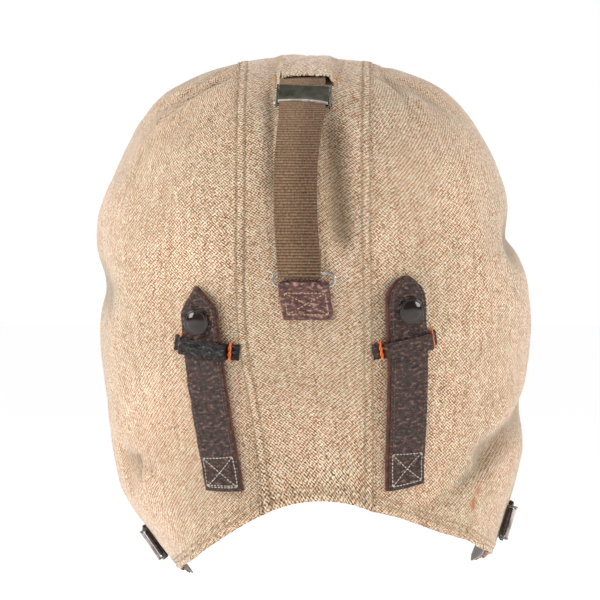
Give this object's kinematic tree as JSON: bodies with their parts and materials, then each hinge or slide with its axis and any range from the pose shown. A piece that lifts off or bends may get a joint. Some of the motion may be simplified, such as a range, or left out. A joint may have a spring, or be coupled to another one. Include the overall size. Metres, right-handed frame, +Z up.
{
  "type": "flying helmet",
  "caption": "Soft cloth flying helmet with leather goggle straps on the back, webbing down the crown in a lever clamp, and a lever clamp at each cheek.",
  "frame": {"origin": "inside of the crown, where the top of the wearer's head touches the lining", "axes": "+Z up, +Y the way the wearer faces, +X towards the wearer's right"},
  "size_m": [0.2037, 0.2087, 0.2436],
  "materials": {
    "canvas": "matt tan cotton twill, flecked light and dark",
    "lining": "smooth grey lining cloth",
    "webbing": "brown ribbed cotton webbing",
    "dark_leather": "dark brown creased leather, half gloss",
    "red_leather": "red-brown leather with pale cut edges",
    "steel": "blackened steel, worn bright on its edges",
    "snap_cap": "dark brown lacquered cap, glossy"
  },
  "bodies": {
    "root": {"left_side_panel": "canvas", "centre_panel": "canvas", "right_side_panel": "canvas", "crown_loop": "canvas", "lining": "lining", "crown_webbing": "webbing", "left_goggle_strap": "dark_leather", "right_goggle_strap": "dark_leather", "left_keeper": "dark_leather", "right_keeper": "dark_leather", "anchor_tab": "red_leather", "left_cheek_tab": "red_leather", "right_cheek_tab": "red_leather", "anchor_ring": "steel", "crown_clamp": "steel", "left_cheek_clamp": "steel", "right_cheek_clamp": "steel", "left_snap": "snap_cap", "right_snap": "snap_cap"},
    "crown_clamp_lever_body": {"crown_clamp_lever": "steel"},
    "left_cheek_clamp_lever_body": {"left_cheek_clamp_lever": "steel"},
    "right_cheek_clamp_lever_body": {"right_cheek_clamp_lever": "steel"}
  },
  "joints": [
    {"name": "crown_clamp_lever_hinge", "type": "hinge", "parent": "root", "child": "crown_clamp_lever_body", "pos_m": [0.00157, -0.06984, -0.01421], "axis": [-0.9976, 0.0535, 0.0448], "range_deg": [0, 95]},
    {"name": "left_cheek_clamp_lever_hinge", "type": "hinge", "parent": "root", "child": "left_cheek_clamp_lever_body", "pos_m": [-0.07045, -0.00653, -0.22584], "axis": [0.5722, 0, -0.8201], "range_deg": [0, 95]},
    {"name": "right_cheek_clamp_lever_hinge", "type": "hinge", "parent": "root", "child": "right_cheek_clamp_lever_body", "pos_m": [0.09845, -0.00767, -0.21538], "axis": [0.289, 0, 0.9573], "range_deg": [0, 95]}
  ]
}
